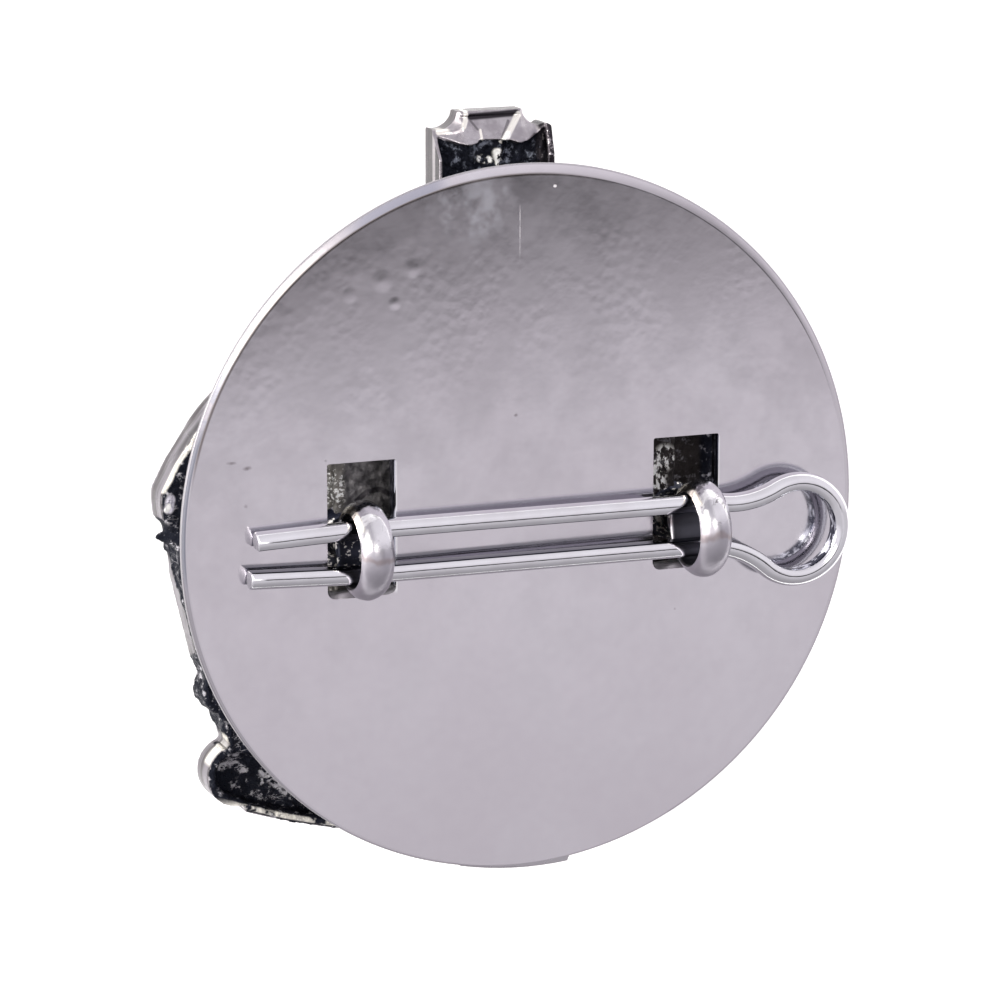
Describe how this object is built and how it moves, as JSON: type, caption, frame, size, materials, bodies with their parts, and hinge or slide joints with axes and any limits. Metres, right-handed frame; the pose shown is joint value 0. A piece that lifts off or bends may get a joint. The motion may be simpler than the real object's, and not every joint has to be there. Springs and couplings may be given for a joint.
{
  "type": "crown badge",
  "caption": "Cast crown badge with two ring loops on its back, a loose round slotted back plate and a split pin that holds the plate on behind the cloth.",
  "frame": {"origin": "centre of the back plate's cloth-side face", "axes": "+X to the right seen from the back, towards the pin's eye; +Y to the top of the crown; +Z away from the crown, towards the wearer; the badge lies face down"},
  "size_m": [0.042, 0.0448, 0.0148],
  "materials": {
    "cast_metal": "bright plated, rough cast on the back",
    "plate_metal": "polished with slight ripples",
    "wire_metal": "bright"
  },
  "bodies": {
    "crown": {"crown": "cast_metal"},
    "plate": {"back_plate": "plate_metal"},
    "pin": {"split_pin": "wire_metal"}
  },
  "joints": [
    {"name": "plate_slide", "type": "slide", "parent": "crown", "child": "plate", "axis": [0, 0, 1], "range_m": [-0.002, 0]},
    {"name": "pin_slide", "type": "slide", "parent": "crown", "child": "pin", "axis": [0.9997, 0, 0.0236], "range_m": [0, 0.024]}
  ]
}
